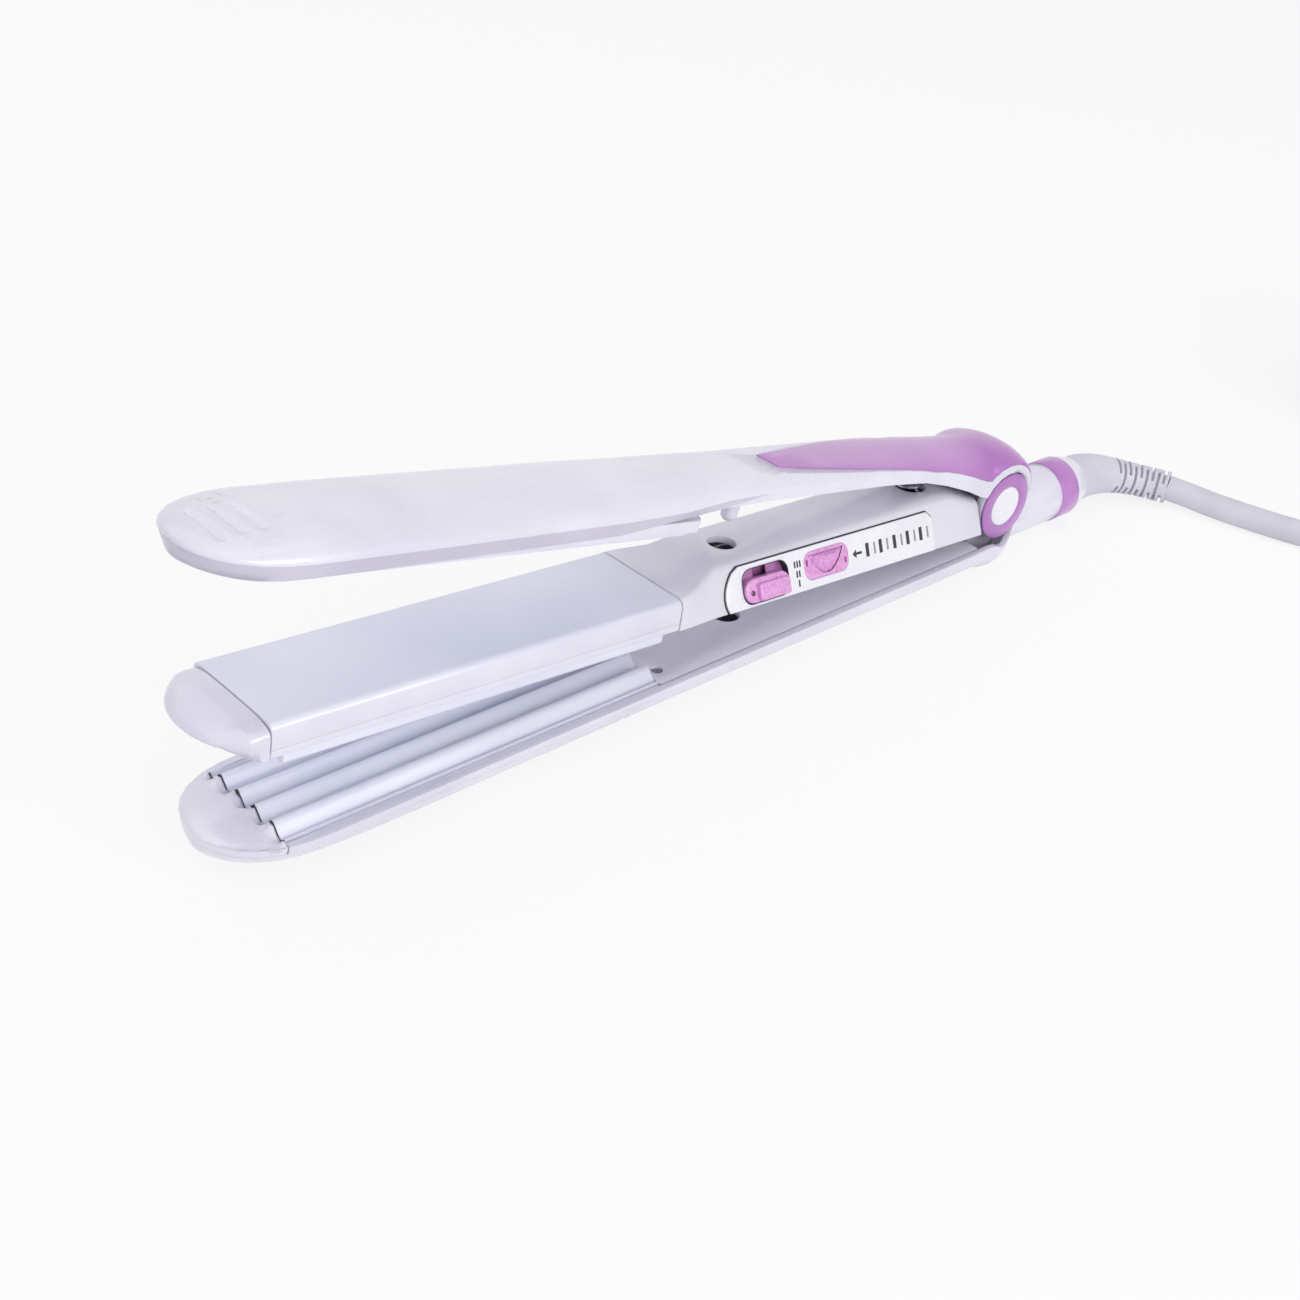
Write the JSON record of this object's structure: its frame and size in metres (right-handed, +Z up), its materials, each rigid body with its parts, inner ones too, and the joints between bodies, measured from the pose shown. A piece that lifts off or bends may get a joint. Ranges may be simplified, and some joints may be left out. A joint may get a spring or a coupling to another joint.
{
  "type": "hair crimper",
  "caption": "Three-arm hair iron on one hinge: flat plates between the upper arms, corrugated crimping plates between the lower arms, slide switch, heat wheel and coiled mains cord.",
  "frame": {"origin": "on the rest face under the hinge axis", "axes": "+Z up from the rest face, -X along the lower arm to the tips, +X along the neck to the cord, -Y the side with the controls"},
  "size_m": [0.4334, 0.0873, 0.0695],
  "materials": {
    "pearl_shell": "glossy pearl lacquer on moulded plastic",
    "pink_panel": "glossy pearl pink",
    "pale_liner": "satin moulded plastic",
    "handle_grey": "satin pearl grey",
    "panel_white": "glossy white",
    "ceramic_plate": "satin ceramic coating on aluminium",
    "plate_holder": "heat-resistant matt plastic",
    "heater_ceramic": "unglazed ceramic strip",
    "pink_control": "glossy pink",
    "dark_inner": "dark moulded plastic",
    "steel": "plain steel",
    "bracket_plastic": "glass-filled plastic",
    "lens": "dark red lens",
    "board": "circuit board",
    "cord_sleeve": "smooth PVC",
    "tie_strap": "woven strap",
    "pin_brass": "plated"
  },
  "bodies": {
    "lower": {"lower_shell": "pearl_shell", "lower_cover": "pale_liner", "lower_tip_cap": "pearl_shell", "lower_crimp_plate": "ceramic_plate", "lower_plate_tray": "plate_holder", "lower_heater": "heater_ceramic", "lower_screws": "steel", "hinge_bracket": "bracket_plastic", "hinge_pin": "steel", "neck_ring": "pink_panel", "rear_collar": "pearl_shell", "strain_relief": "cord_sleeve", "middle_spring": "steel", "cord_lead": "cord_sleeve", "cord_coil": "cord_sleeve", "cord_tail": "cord_sleeve", "cord_tie": "tie_strap", "plug_body": "cord_sleeve", "plug_pins": "pin_brass"},
    "middle": {"middle_shell": "handle_grey", "middle_base": "handle_grey", "middle_hinge_block": "bracket_plastic", "control_panel": "panel_white", "switch_body": "dark_inner", "thermostat_body": "dark_inner", "circuit_board": "board", "middle_flat_plate": "ceramic_plate", "middle_plate_frame": "plate_holder", "middle_heater": "heater_ceramic", "middle_crimp_plate": "ceramic_plate", "middle_tip_cap": "pearl_shell", "middle_guide_peg": "pale_liner", "upper_spring": "steel"},
    "upper": {"upper_shell": "pearl_shell", "upper_panel": "pink_panel", "upper_liner": "pale_liner", "upper_plate_frame": "plate_holder", "upper_flat_plate": "ceramic_plate", "upper_heater": "heater_ceramic", "upper_guide_peg": "pale_liner", "upper_hinge_cheeks": "pearl_shell", "hinge_rings": "pink_panel", "hinge_caps": "panel_white", "upper_screws": "steel"},
    "switch": {"power_switch": "pink_control", "indicator_lens": "lens"},
    "wheel": {"temperature_wheel": "pink_control"}
  },
  "joints": [
    {"name": "middle_hinge", "type": "hinge", "parent": "lower", "child": "middle", "pos_m": [0, 0, 0.0172], "axis": [0, 1, 0], "range_deg": [-4.65, 0], "stiffness_Nm_per_rad": 1.8, "springref_deg": 20.05, "deforming": ["middle_spring"]},
    {"name": "upper_hinge", "type": "hinge", "parent": "middle", "child": "upper", "pos_m": [0, 0, 0.0172], "axis": [0, 1, 0], "range_deg": [-7.28, 0], "stiffness_Nm_per_rad": 1.2, "springref_deg": 20.05, "deforming": ["upper_spring"]},
    {"name": "power_slide", "type": "slide", "parent": "middle", "child": "switch", "axis": [0.0738, 0.4153, 0.9067], "range_m": [0, 0.002]},
    {"name": "temperature_turn", "type": "hinge", "parent": "middle", "child": "wheel", "pos_m": [-0.06184, -0.00291, 0.02169], "axis": [0.0811, 0, 0.9967], "range_deg": [0, 270]}
  ]
}
